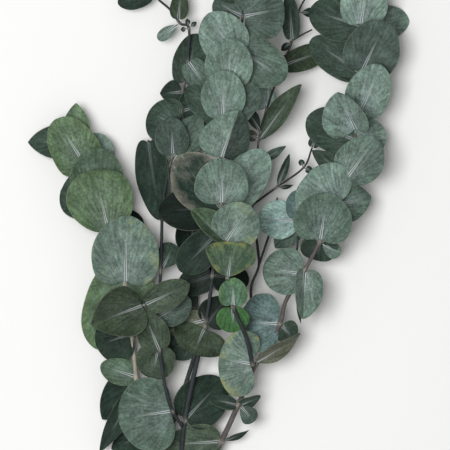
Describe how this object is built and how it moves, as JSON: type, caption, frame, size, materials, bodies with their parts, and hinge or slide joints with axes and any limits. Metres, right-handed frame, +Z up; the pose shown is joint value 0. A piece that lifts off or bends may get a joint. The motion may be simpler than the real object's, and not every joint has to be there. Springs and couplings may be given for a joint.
{
  "type": "eucalyptus branch",
  "caption": "Cut branch of silver dollar eucalyptus lying down: a woody foot that forks into long leafy shoots with opposite, nearly round leaves",
  "frame": {"origin": "middle of the bounding box on the table that the branch lies on", "axes": "+Y runs along the branch from the cut foot to the tips, +X to the right and +Z up from the table, towards the side that the picture shows"},
  "size_m": [0.3065, 0.4901, 0.0694],
  "materials": {
    "bark": "thin matt dark bark, pale at the nodes",
    "green_leaves": "matt leathery leaf, soft green under a thin bloom",
    "dark_leaves": "matt leathery leaf, dark green",
    "olive_leaves": "matt leathery leaf, olive and grey green",
    "black_green_leaves": "matt leathery leaf, black green",
    "pale_leaves": "matt leathery leaf with a pale blue grey bloom",
    "twig_leaves": "matt leathery leaf, brown green, on a thin dark twig",
    "grey_leaves": "matt leathery leaf, grey green with a pale midrib"
  },
  "bodies": {
    "root": {"woody_stem": "bark", "left_shoot": "green_leaves", "back_left_shoot": "dark_leaves", "middle_shoot": "olive_leaves", "middle_twig": "black_green_leaves", "front_shoot": "pale_leaves", "inner_twig": "twig_leaves", "right_shoot": "grey_leaves"}
  },
  "joints": []
}
